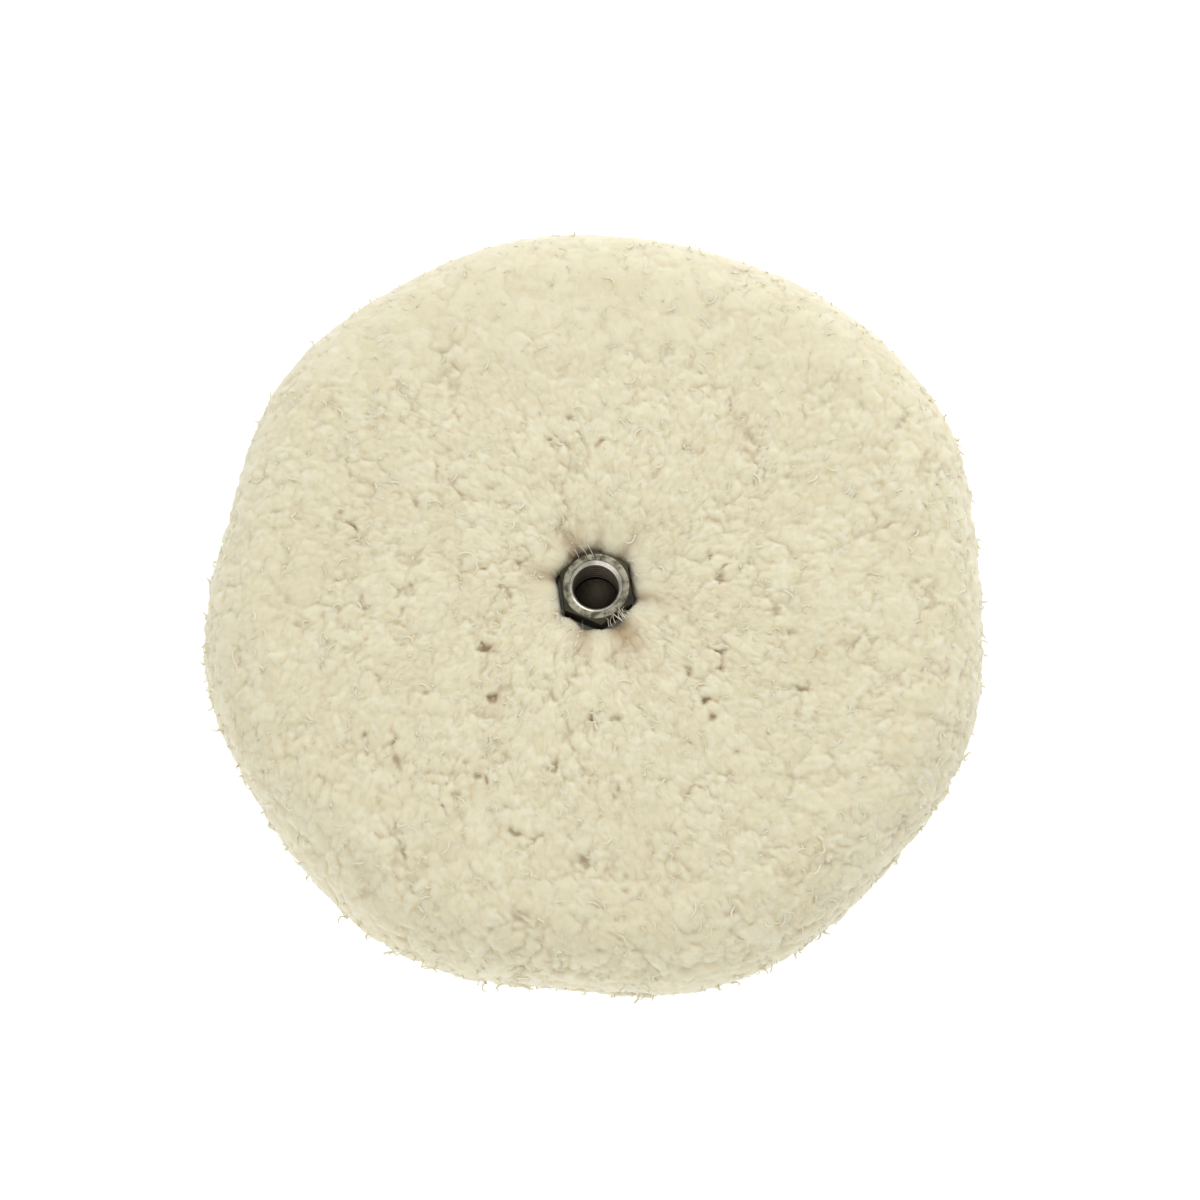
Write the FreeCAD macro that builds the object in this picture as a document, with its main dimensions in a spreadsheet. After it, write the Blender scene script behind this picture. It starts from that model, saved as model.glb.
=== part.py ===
"""Double-sided wool polishing wheel on a threaded hex hub.

The wheel's axis is Z and the origin is in the middle of the wheel, halfway through its thickness.
The front face, where the machine's spindle screws in, looks to +Z. The rear face, where the clamp
nut sits in its recess, looks to -Z. Lengths are in millimetres and angles in degrees.
"""

import FreeCAD, Part
import math
import os
import re
import Sketcher

doc = FreeCAD.newDocument("polishing_wheel")

# --------------------------------------------------------------------------------------------------
# Driving dimensions
# --------------------------------------------------------------------------------------------------

DIMENSIONS = {
    # the wool pile
    "wheel_radius": 120.0,
    "half_thickness": 26.0,
    "rim_roundness": 23.0,
    "parting_gap": 0.2,
    "pile_clearance": 0.4,
    "front_mouth_radius": 14.2,
    "rear_mouth_radius": 17.5,
    "mouth_lip_height": 15.0,
    "front_funnel_radius": 22.0,
    "front_funnel_height": 21.5,
    "front_dimple_radius": 46.0,
    "rear_funnel_radius": 21.0,
    "rear_funnel_height": 22.5,
    "rear_dimple_radius": 36.0,
    # the sewn discs
    "felt_half_thickness": 3.0,
    "canvas_thickness": 1.6,
    "ground_thickness": 0.8,
    "disc_radius": 108.0,
    "disc_hole_radius": 12.0,
    # the binding and the seams
    "binding_thickness": 1.0,
    "binding_width": 7.0,
    "binding_gap": 0.1,
    "thread_radius": 0.4,
    "thread_gap": 0.05,
    "seam_groove_half_width": 1.2,
    "inner_seam_radius": 44.0,
    "middle_seam_radius": 70.0,
    "outer_seam_radius": 94.0,
    "rim_seam_radius": 104.5,
    "inner_stitch_count": 18,
    "middle_stitch_count": 28,
    "outer_stitch_count": 36,
    "rim_stitch_count": 44,
    "stitch_share": 0.62,
    # the eyelet
    "eyelet_wall": 0.8,
    "eyelet_flange_radius": 16.0,
    "eyelet_flange_thickness": 0.6,
    "eyelet_lip_radius": 12.9,
    # the fibre plates
    "fibre_thickness": 1.6,
    "fibre_radius": 37.5,
    "fibre_hole_radius": 16.4,
    "fibre_edge_chamfer": 0.4,
    "prong_hole_radius": 1.6,
    # the clamp washers
    "washer_thickness": 2.0,
    "washer_rim_thickness": 1.1,
    "washer_radius": 25.0,
    "washer_flat_radius": 14.0,
    "front_washer_hole_radius": 11.15,
    "rear_washer_hole_radius": 8.4,
    "prong_radius": 1.3,
    "prong_length": 1.4,
    "prong_circle_radius": 20.5,
    "prong_count": 4,
    # the hub
    "hub_hex_flats": 20.6,
    "hub_hex_length": 9.8,
    "hub_hex_turn": 37.5,
    "hub_hex_face_radius": 9.85,
    "hub_flange_radius": 12.7,
    "hub_flange_thickness": 2.0,
    "hub_flange_chamfer": 0.5,
    "shank_radius": 11.0,
    "stem_radius": 8.0,
    "stem_chamfer": 1.0,
    "stem_overrun": 0.5,
    "tap_depth": 16.0,
    "drill_depth": 17.5,
    "countersink_diameter": 16.8,
    # the nut and its lock washer
    "nut_flats": 24.0,
    "nut_thickness": 6.0,
    "nut_bore_radius": 8.05,
    "nut_face_radius": 11.4,
    "nut_countersink": 0.8,
    "lock_thickness": 1.6,
    "lock_radius": 12.6,
    "lock_root_radius": 10.2,
    "lock_tooth_radius": 8.6,
    "lock_tooth_count": 10,
    "lock_gap_share": 0.45,
}

# Heights above the middle of the wheel, each stacked on the one before it.
STACK = {
    "canvas_top": "felt_half_thickness + canvas_thickness",
    "ground_top": "canvas_top + ground_thickness",
    "fibre_top": "ground_top + fibre_thickness",
    "washer_top": "fibre_top + washer_thickness",
    "flange_top": "washer_top + hub_flange_thickness",
    "hub_face": "flange_top + hub_hex_length",
    "lock_end": "washer_top + lock_thickness",
    "nut_end": "lock_end + nut_thickness",
    "stem_end": "nut_end + stem_overrun",
    "binding_top": "ground_top + binding_thickness",
    "seam_groove_top": "ground_top + 2 * thread_radius + 2 * pile_clearance",
    "binding_pocket_top": "binding_top + 2 * thread_radius + 2 * pile_clearance",
}

dims = doc.addObject("Spreadsheet::Sheet", "dims")
row = 0
for alias, amount in DIMENSIONS.items():
    row += 1
    dims.set(f"A{row}", alias)
    dims.set(f"B{row}", str(amount))
    dims.setAlias(f"B{row}", alias)
for alias, formula in STACK.items():
    row += 1
    dims.set(f"A{row}", alias)
    dims.set(f"B{row}", "=" + formula)
    dims.setAlias(f"B{row}", alias)
doc.recompute()


# --------------------------------------------------------------------------------------------------
# Helpers
# --------------------------------------------------------------------------------------------------

FRONT = 1
REAR = -1


def number(formula):
    """The value of a formula whose names are cells of the sheet."""
    return float(dims.evalExpression(formula))


def bound(formula):
    """The same formula, written so that another object can use it."""
    def full_name(found):
        word = found.group()
        return "dims." + word if dims.getCellFromAlias(word) else word
    return re.sub(r"[a-z_]+", full_name, formula)


def drive(thing, **formulas):
    """Tie properties of a feature to formulas of the sheet."""
    for name, formula in formulas.items():
        thing.setExpression(name, bound(formula))


def origin_feature(body, role):
    """The body's own origin plane or axis with this role."""
    return next(item for item in body.Origin.OriginFeatures if item.Role == role)


def new_body(label):
    body = doc.addObject("PartDesign::Body", label)
    body.Label = label
    body.Placement = FreeCAD.Placement()
    return body


def new_sketch(body, name, plane, height="0"):
    """A sketch on one of the body's origin planes, moved along the plane's normal."""
    sketch = body.newObject("Sketcher::SketchObject", name)
    sketch.AttachmentSupport = (origin_feature(body, plane), "")
    sketch.MapMode = "FlatFace"
    if height != "0":
        sketch.setExpression("AttachmentOffset.Base.z", bound(height))
    return sketch


def fix_point(sketch, edge, end, across, up):
    """Hold one end of an edge at a place given by two formulas."""
    for kind, formula in (("DistanceX", across), ("DistanceY", up)):
        held = sketch.addConstraint(Sketcher.Constraint(kind, -1, 1, edge, end, number(formula)))
        sketch.setExpression(f"Constraints[{held}]", bound(formula))


def arc_between(start, finish, radius, side):
    """The shorter arc of a radius from start to finish, bulging to the left (side 1) or right (-1)."""
    chord = finish - start
    middle = (start + finish) * 0.5
    left = FreeCAD.Vector(-chord.y, chord.x, 0).normalize()
    reach = math.sqrt(max(radius ** 2 - (chord.Length / 2) ** 2, 0.0))
    centre = middle - left * (side * reach)
    top = centre + left * (side * radius)
    return Part.Arc(start, top, finish)


def draw_outline(sketch, corners):
    """Draw a closed outline.

    Each corner is (across, up), reached by a straight line from the corner before it, or
    (across, up, radius, side), reached by an arc. All four are formulas, but side is 1 or -1.
    """
    places = [FreeCAD.Vector(number(corner[0]), number(corner[1]), 0) for corner in corners]
    count = len(corners)
    for index, corner in enumerate(corners):
        start = places[index - 1]
        finish = places[index]
        if len(corner) == 2:
            sketch.addGeometry(Part.LineSegment(start, finish))
        else:
            sketch.addGeometry(arc_between(start, finish, number(corner[2]), corner[3]))
    for index in range(count):
        this_end = end_point(corners[index])
        next_start = start_point(corners[(index + 1) % count])
        joint = Sketcher.Constraint("Coincident", index, this_end, (index + 1) % count, next_start)
        sketch.addConstraint(joint)
        fix_point(sketch, index, this_end, corners[index][0], corners[index][1])
        if len(corners[index]) == 4:
            radius = number(corners[index][2])
            held = sketch.addConstraint(Sketcher.Constraint("Radius", index, radius))
            sketch.setExpression(f"Constraints[{held}]", bound(corners[index][2]))


def runs_backwards(corner):
    """Sketch arcs run anticlockwise, so an arc that bulges to the left starts at its far end."""
    return len(corner) == 4 and corner[3] > 0


def start_point(corner):
    return 2 if runs_backwards(corner) else 1


def end_point(corner):
    return 1 if runs_backwards(corner) else 2


def turn(body, name, corners, kind="PartDesign::Revolution", angle=None):
    """Turn an outline, given as radius and height, about the wheel's axis."""
    sketch = new_sketch(body, name + "_outline", "XZ_Plane")
    draw_outline(sketch, corners)
    return turn_sketch(body, name, sketch, kind, angle)


def turn_sketch(body, name, sketch, kind="PartDesign::Revolution", angle=None):
    turned = body.newObject(kind, name)
    turned.Profile = sketch
    turned.ReferenceAxis = (sketch, ["V_Axis"])
    turned.Angle = 360.0
    if angle:
        drive(turned, Angle=angle)
    return turned


def flip(corners, side):
    """Mirror an outline to the rear when side is REAR."""
    if side == FRONT:
        return corners
    mirrored = []
    for corner in corners:
        bulge = () if len(corner) == 2 else (corner[2], -corner[3])
        mirrored.append((corner[0], f"-1 * ({corner[1]})") + bulge)
    return mirrored


def hexagon(flats, turned):
    """The corners of a hexagon, given its width across flats and the angle of its first corner."""
    corner = f"{flats} / sqrt(3)"
    angles = [f"({turned} + {60 * index}) * 1 deg" for index in range(6)]
    return [(f"{corner} * cos({angle})", f"{corner} * sin({angle})") for angle in angles]


def circle(sketch, across, up, radius):
    """A circle whose centre and radius are formulas."""
    centre = FreeCAD.Vector(number(across), number(up), 0)
    edge = sketch.addGeometry(Part.Circle(centre, FreeCAD.Vector(0, 0, 1), number(radius)))
    fix_point(sketch, edge, 3, across, up)
    held = sketch.addConstraint(Sketcher.Constraint("Radius", edge, number(radius)))
    sketch.setExpression(f"Constraints[{held}]", bound(radius))


def extrude(body, name, kind, sketch, length, backwards=False):
    """Pad or pocket a sketch along the wheel's axis."""
    made = body.newObject(kind, name)
    made.Profile = sketch
    made.Reversed = backwards
    drive(made, Length=length)
    return made


def repeat(body, name, feature, count):
    """Repeat a feature around the wheel's axis."""
    pattern = body.newObject("PartDesign::PolarPattern", name)
    pattern.Originals = [feature]
    pattern.Axis = (origin_feature(body, "Z_Axis"), [""])
    pattern.Angle = 360.0
    drive(pattern, Occurrences=count)
    body.Tip = pattern
    return pattern


def hex_chamfer(body, name, face_radius, flats, height, upwards):
    """Turn away the corners of a hexagon at one of its faces, at thirty degrees."""
    corner = f"{flats} / sqrt(3) + 1"
    drop = f"({corner} - {face_radius}) * tan(30 deg)"
    sign = "-" if upwards else "+"
    clear = "+ 1" if upwards else "- 1"
    corners = [
        (face_radius, height),
        (corner, f"{height} {sign} {drop}"),
        (corner, f"{height} {clear}"),
        (face_radius, f"{height} {clear}"),
    ]
    return turn(body, name, corners, "PartDesign::Groove")


# --------------------------------------------------------------------------------------------------
# The hub: hexagon, flange, plain shank and threaded stem, tapped from the front.
# Both threads are plain walls here: the bore at its thread's minor diameter, the stem at its major.
# --------------------------------------------------------------------------------------------------

def make_spindle_hub():
    body = new_body("spindle_hub")
    turn(body, "hub_blank", [
        ("0", "-1 * stem_end"),
        ("stem_radius - stem_chamfer", "-1 * stem_end"),
        ("stem_radius", "stem_chamfer - stem_end"),
        ("stem_radius", "-1 * (ground_top + eyelet_flange_thickness)"),
        ("shank_radius", "-1 * (ground_top + eyelet_flange_thickness)"),
        ("shank_radius", "washer_top"),
        ("hub_flange_radius", "washer_top"),
        ("hub_flange_radius", "flange_top - hub_flange_chamfer"),
        ("hub_flange_radius - hub_flange_chamfer", "flange_top"),
        ("0", "flange_top"),
    ])
    hex_sketch = new_sketch(body, "hub_hex_outline", "XY_Plane", "flange_top")
    draw_outline(hex_sketch, hexagon("hub_hex_flats", "hub_hex_turn"))
    extrude(body, "hub_hex", "PartDesign::Pad", hex_sketch, "hub_hex_length")
    hex_chamfer(body, "hub_hex_corners", "hub_hex_face_radius", "hub_hex_flats", "hub_face", True)
    doc.recompute()

    bore_sketch = new_sketch(body, "spindle_bore_outline", "XY_Plane", "hub_face")
    circle(bore_sketch, "0", "0", "stem_radius")
    doc.recompute()
    bore = body.newObject("PartDesign::Hole", "spindle_bore")
    bore.Profile = bore_sketch
    doc.recompute()
    bore.ThreadType = "UNC"
    bore.ThreadSize = "5/8"
    bore.Threaded = True
    bore.ModelThread = False
    bore.DepthType = "Dimension"
    bore.DrillPoint = "Angled"
    bore.ThreadDepthType = "Dimension"
    bore.HoleCutType = "Countersink"
    bore.HoleCutCustomValues = True
    bore.HoleCutCountersinkAngle = 90.0
    drive(bore, Depth="drill_depth", ThreadDepth="tap_depth")
    drive(bore, HoleCutDiameter="countersink_diameter")
    return body


# --------------------------------------------------------------------------------------------------
# The clamp: nut, lock washer, the two dished washers and the two fibre plates
# --------------------------------------------------------------------------------------------------

def make_clamp_nut():
    body = new_body("clamp_nut")
    hex_sketch = new_sketch(body, "nut_outline", "XY_Plane", "-1 * nut_end")
    draw_outline(hex_sketch, hexagon("nut_flats", "0"))
    circle(hex_sketch, "0", "0", "nut_bore_radius")
    extrude(body, "nut_blank", "PartDesign::Pad", hex_sketch, "nut_thickness")
    hex_chamfer(body, "nut_rear_corners", "nut_face_radius", "nut_flats", "-1 * nut_end", False)
    hex_chamfer(body, "nut_front_corners", "nut_face_radius", "nut_flats", "-1 * lock_end", True)
    for name, height, inward in (("rear", "-1 * nut_end", "+"), ("front", "-1 * lock_end", "-")):
        turn(body, f"nut_{name}_countersink", [
            ("nut_bore_radius - 1", height),
            ("nut_bore_radius + nut_countersink", height),
            ("nut_bore_radius", f"{height} {inward} nut_countersink"),
            ("nut_bore_radius - 1", f"{height} {inward} nut_countersink"),
        ], "PartDesign::Groove")
    return body


def make_lock_washer():
    """A flat ring with teeth around its hole."""
    body = new_body("lock_washer")
    ring = new_sketch(body, "lock_outline", "XY_Plane", "-1 * lock_end")
    circle(ring, "0", "0", "lock_radius")
    circle(ring, "0", "0", "lock_tooth_radius")
    extrude(body, "lock_ring", "PartDesign::Pad", ring, "lock_thickness")
    gap = new_sketch(body, "lock_gap_outline", "XY_Plane", "-1 * lock_end")
    half_gap = "lock_gap_share * 180 deg / lock_tooth_count"
    inner = "(lock_tooth_radius - 0.5)"
    outer = "lock_root_radius"
    draw_outline(gap, [
        (f"{inner} * cos({half_gap})", f"-1 * {inner} * sin({half_gap})"),
        (f"{outer} * cos({half_gap})", f"-1 * {outer} * sin({half_gap})"),
        (f"{outer} * cos({half_gap})", f"{outer} * sin({half_gap})"),
        (f"{inner} * cos({half_gap})", f"{inner} * sin({half_gap})"),
    ])
    tooth_gap = extrude(body, "tooth_gap", "PartDesign::Pocket", gap, "lock_thickness", True)
    repeat(body, "tooth_gaps", tooth_gap, "lock_tooth_count")
    return body


def make_clamp_washer(label, side, hole):
    """A steel washer, dished on the outside, with prongs that reach into the fibre plate."""
    body = new_body(label)
    turn(body, label + "_dish", flip([
        (hole, "fibre_top"),
        ("washer_radius", "fibre_top"),
        ("washer_radius", "fibre_top + washer_rim_thickness"),
        ("washer_flat_radius", "washer_top"),
        (hole, "washer_top"),
    ], side))
    start = "fibre_top" if side == FRONT else "-1 * fibre_top"
    peg = new_sketch(body, label + "_prong_outline", "XY_Plane", start)
    circle(peg, "prong_circle_radius", "0", "prong_radius")
    prong = extrude(body, label + "_prong", "PartDesign::Pad", peg, "prong_length", side == FRONT)
    repeat(body, label + "_prongs", prong, "prong_count")
    return body


def make_fibre_plate(label, side):
    """A stiff disc with a chamfered edge and holes for the washer's prongs."""
    body = new_body(label)
    turn(body, label + "_disc", flip([
        ("fibre_hole_radius", "ground_top"),
        ("fibre_radius", "ground_top"),
        ("fibre_radius", "fibre_top - fibre_edge_chamfer"),
        ("fibre_radius - fibre_edge_chamfer", "fibre_top"),
        ("fibre_hole_radius", "fibre_top"),
    ], side))
    start = "fibre_top" if side == FRONT else "-1 * fibre_top"
    hole = new_sketch(body, label + "_hole_outline", "XY_Plane", start)
    circle(hole, "prong_circle_radius", "0", "prong_hole_radius")
    pocket = extrude(body, label + "_hole", "PartDesign::Pocket", hole, "fibre_thickness", side != FRONT)
    repeat(body, label + "_holes", pocket, "prong_count")
    return body


# --------------------------------------------------------------------------------------------------
# The eyelet that lines the hole through the discs
# --------------------------------------------------------------------------------------------------

def make_eyelet_barrel():
    body = new_body("eyelet_barrel")
    bore = "disc_hole_radius - eyelet_wall"
    flange_end = "ground_top + eyelet_flange_thickness"
    turn(body, "barrel", [
        (bore, f"-1 * ({flange_end})"),
        (bore, flange_end),
        ("eyelet_flange_radius", flange_end),
        ("eyelet_flange_radius", "ground_top"),
        ("disc_hole_radius", "ground_top"),
        ("disc_hole_radius", f"-1 * ({flange_end})"),
        ("eyelet_lip_radius", f"-1 * ({flange_end})"),
        ("eyelet_lip_radius", f"-1 * ({flange_end} + eyelet_flange_thickness)"),
        (bore, f"-1 * ({flange_end} + eyelet_flange_thickness)"),
    ])
    return body


def make_eyelet_ring():
    body = new_body("eyelet_ring")
    turn(body, "ring", [
        ("disc_hole_radius", "-1 * ground_top"),
        ("eyelet_flange_radius", "-1 * ground_top"),
        ("eyelet_flange_radius", "-1 * (ground_top + eyelet_flange_thickness)"),
        ("disc_hole_radius", "-1 * (ground_top + eyelet_flange_thickness)"),
    ])
    return body


# --------------------------------------------------------------------------------------------------
# The discs, their binding and the seams
# --------------------------------------------------------------------------------------------------

def make_disc(label, lower, upper):
    """A flat disc with the eyelet's hole, from one height to another."""
    body = new_body(label)
    turn(body, label + "_disc", [
        ("disc_hole_radius", lower),
        ("disc_radius", lower),
        ("disc_radius", upper),
        ("disc_hole_radius", upper),
    ])
    return body


def make_rim_binding():
    """A tape folded around the edges of all the discs, so its section is a letter C."""
    body = new_body("rim_binding")
    leg = "disc_radius - binding_width"
    inside = "disc_radius + binding_gap"
    outside = "disc_radius + binding_gap + binding_thickness"
    turn(body, "binding", [
        (leg, "ground_top"),
        (inside, "ground_top"),
        (inside, "-1 * ground_top"),
        (leg, "-1 * ground_top"),
        (leg, "-1 * binding_top"),
        (inside, "-1 * binding_top"),
        (outside, "-1 * ground_top", "binding_thickness", -1),
        (outside, "ground_top"),
        (inside, "binding_top", "binding_thickness", -1),
        (leg, "binding_top"),
    ])
    return body


def make_seam(label, seam_radius, surface, count):
    """A ring of separate thread stitches on the front, and the same ring on the rear."""
    body = new_body(label)
    section = new_sketch(body, label + "_thread", "XZ_Plane")
    height = f"{surface} + thread_radius + thread_gap"
    circle(section, seam_radius, height, "thread_radius")
    circle(section, seam_radius, f"-1 * ({height})", "thread_radius")
    stitch = turn_sketch(body, label + "_stitch", section, angle=f"stitch_share * 360 / {count}")
    repeat(body, label + "_ring", stitch, count)
    return body


# --------------------------------------------------------------------------------------------------
# The wool pile
# --------------------------------------------------------------------------------------------------

def seam_groove(seam_radius):
    """The groove under the pile that a ring of stitches lies in, from the inside outwards."""
    near = f"{seam_radius} - seam_groove_half_width"
    far = f"{seam_radius} + seam_groove_half_width"
    return [
        (near, "ground_top"),
        (near, "seam_groove_top"),
        (far, "seam_groove_top"),
        (far, "ground_top"),
    ]


def make_wool_pile(label, side, mouth, funnel, funnel_height, dimple):
    """One face's pile: a thick ring that rolls over the rim and dips towards the hub.

    Its underside steps over the clamp washer, the fibre plate, the seams and the binding.
    """
    over_washer = "washer_top + pile_clearance"
    past_washer = "washer_radius + pile_clearance"
    over_fibre = "fibre_top + pile_clearance"
    past_fibre = "fibre_radius + pile_clearance"
    pocket_start = "disc_radius - binding_width - pile_clearance"
    pocket_end = "disc_radius + binding_thickness + pile_clearance"
    rim_start = "wheel_radius - rim_roundness"
    dip_across = f"({dimple} - {funnel})"
    dip_drop = f"(half_thickness - {funnel_height})"
    dip_radius = f"({dip_across} ^ 2 + {dip_drop} ^ 2) / (2 * {dip_drop})"
    corners = [
        (mouth, over_washer),
        (past_washer, over_washer),
        (past_washer, over_fibre),
        (past_fibre, over_fibre),
        (past_fibre, "ground_top"),
    ]
    for seam_radius in ("inner_seam_radius", "middle_seam_radius", "outer_seam_radius"):
        corners += seam_groove(seam_radius)
    corners += [
        (pocket_start, "ground_top"),
        (pocket_start, "binding_pocket_top"),
        (pocket_end, "binding_pocket_top"),
        (pocket_end, "parting_gap"),
        ("wheel_radius", "parting_gap"),
        ("wheel_radius", "half_thickness - rim_roundness"),
        (rim_start, "half_thickness", "rim_roundness", -1),
        (dimple, "half_thickness"),
        (funnel, funnel_height, dip_radius, -1),
        (mouth, "mouth_lip_height"),
    ]
    body = new_body(label)
    turn(body, label + "_ring", flip(corners, side))
    return body


# --------------------------------------------------------------------------------------------------
# The assembly
# --------------------------------------------------------------------------------------------------

parts = [
    make_spindle_hub(),
    make_clamp_nut(),
    make_lock_washer(),
    make_clamp_washer("front_clamp_washer", FRONT, "front_washer_hole_radius"),
    make_clamp_washer("rear_clamp_washer", REAR, "rear_washer_hole_radius"),
    make_fibre_plate("front_fibre_plate", FRONT),
    make_fibre_plate("rear_fibre_plate", REAR),
    make_eyelet_barrel(),
    make_eyelet_ring(),
    make_disc("felt_core", "-1 * felt_half_thickness", "felt_half_thickness"),
    make_disc("front_backing", "felt_half_thickness", "canvas_top"),
    make_disc("rear_backing", "-1 * canvas_top", "-1 * felt_half_thickness"),
    make_disc("front_ground_cloth", "canvas_top", "ground_top"),
    make_disc("rear_ground_cloth", "-1 * ground_top", "-1 * canvas_top"),
    make_rim_binding(),
    make_seam("rim_stitching", "rim_seam_radius", "binding_top", "rim_stitch_count"),
    make_seam("inner_seam", "inner_seam_radius", "ground_top", "inner_stitch_count"),
    make_seam("middle_seam", "middle_seam_radius", "ground_top", "middle_stitch_count"),
    make_seam("outer_seam", "outer_seam_radius", "ground_top", "outer_stitch_count"),
    make_wool_pile("front_wool_pile", FRONT, "front_mouth_radius", "front_funnel_radius",
                   "front_funnel_height", "front_dimple_radius"),
    make_wool_pile("rear_wool_pile", REAR, "rear_mouth_radius", "rear_funnel_radius",
                   "rear_funnel_height", "rear_dimple_radius"),
]
doc.recompute()

for item in doc.Objects:
    if "Invalid" in item.State or "Error" in item.State:
        raise RuntimeError(f"{item.Label} failed to compute: {item.State}")
for part in parts:
    if part.Shape.isNull() or not part.Shape.isValid():
        raise RuntimeError(f"{part.Label} has no valid shape")

os.makedirs("parts", exist_ok=True)
for part in parts:
    part.Shape.exportStep(f"parts/{part.Label}.step")
    solids = len(part.Shape.Solids)
    volume = part.Shape.Volume / 1000.0
    print(f"{part.Label}: {solids} solid(s), {volume:.2f} cm3")
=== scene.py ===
# %% [markdown]
# # A double-sided wool polishing wheel
#
# The wheel is a thick, soft disc of curly wool with a steel hub in its middle. The steel, the sewn
# discs and everything that fits or turns already exist as exact parts, which are loaded first and
# are never moved. What is made here is the soft part, which no drawing can give: the wool on both
# faces, its locks and its loose fibres. Then every part gets its finish. Blender starts its noise
# from the clock, so a seed is set here, or the wool would be another one on each run.

# %% Load the exact parts
import math

import bpy
import numpy as np
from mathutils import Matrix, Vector, noise


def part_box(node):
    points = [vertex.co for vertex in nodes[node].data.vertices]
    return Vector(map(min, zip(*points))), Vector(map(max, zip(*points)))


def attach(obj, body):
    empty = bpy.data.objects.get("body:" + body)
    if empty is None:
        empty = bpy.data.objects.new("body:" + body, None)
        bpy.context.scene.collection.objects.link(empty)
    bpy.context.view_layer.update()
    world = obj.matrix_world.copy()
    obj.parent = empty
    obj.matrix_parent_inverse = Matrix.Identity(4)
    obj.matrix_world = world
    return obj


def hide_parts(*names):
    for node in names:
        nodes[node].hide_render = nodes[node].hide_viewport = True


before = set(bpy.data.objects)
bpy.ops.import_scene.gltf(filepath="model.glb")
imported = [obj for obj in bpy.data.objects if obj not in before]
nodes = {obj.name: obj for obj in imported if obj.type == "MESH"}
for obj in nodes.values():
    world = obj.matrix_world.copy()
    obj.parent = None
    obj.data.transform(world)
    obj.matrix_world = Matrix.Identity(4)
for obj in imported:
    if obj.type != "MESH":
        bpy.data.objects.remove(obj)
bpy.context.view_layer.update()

MM = 0.001
noise.seed_set(5)
print("parts loaded:", len(nodes))

# %% [markdown]
# ## Sizes
#
# Every size below comes from the exact parts, so the wool always fits them. The pile's box gives the
# wheel's radius and half its thickness, and the hub's box gives the height of the hexagon's face.

# %% Measure the parts
pile_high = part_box("front_wool_pile")[1]
hub_low, hub_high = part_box("spindle_hub")

wheel_radius = pile_high[0]
half_thickness = pile_high[2]
hub_face = hub_high[2]
hub_radius = hub_high[0]
washer_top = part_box("front_clamp_washer")[1][2]
binding_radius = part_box("rim_binding")[1][0]
FLANGE_TOP = washer_top + 2 * MM
print(f"wheel radius {wheel_radius / MM:.1f} mm, half thickness {half_thickness / MM:.1f} mm")
print(f"hub face at {hub_face / MM:.1f} mm, flange radius {hub_radius / MM:.1f} mm")


# %% [markdown]
# ## Writing materials as sums
#
# A material is a tree of nodes. Written one node at a time, even a small sum takes many lines, so a
# socket is wrapped in a class that knows ordinary arithmetic. `1 - depth * 0.5` then adds the nodes
# that work it out. Any other node comes from one method, `node`.

# %% A socket that knows arithmetic
class Signal:
    """One output of a material's node tree. Arithmetic on it adds Math nodes."""

    def __init__(self, finish, socket):
        self.finish = finish
        self.socket = socket

    def math(self, operation, *values):
        return self.finish.node("ShaderNodeMath", {"operation": operation}, dict(enumerate(values)))

    def __add__(self, other):
        return self.math("ADD", self, other)

    def __sub__(self, other):
        return self.math("SUBTRACT", self, other)

    def __rsub__(self, other):
        return self.math("SUBTRACT", other, self)

    def __mul__(self, other):
        return self.math("MULTIPLY", self, other)

    def __pow__(self, other):
        return self.math("POWER", self, other)

    __radd__ = __add__
    __rmul__ = __mul__

    def sine(self):
        return self.math("SINE", self)

    def between(self, low, high):
        """0 at low and below, 1 at high and above, and smooth between them."""
        return self.finish.node("ShaderNodeMapRange", {"interpolation_type": "SMOOTHSTEP"},
                                {"Value": self, "From Min": low, "From Max": high})


print("sums are ready")


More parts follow.
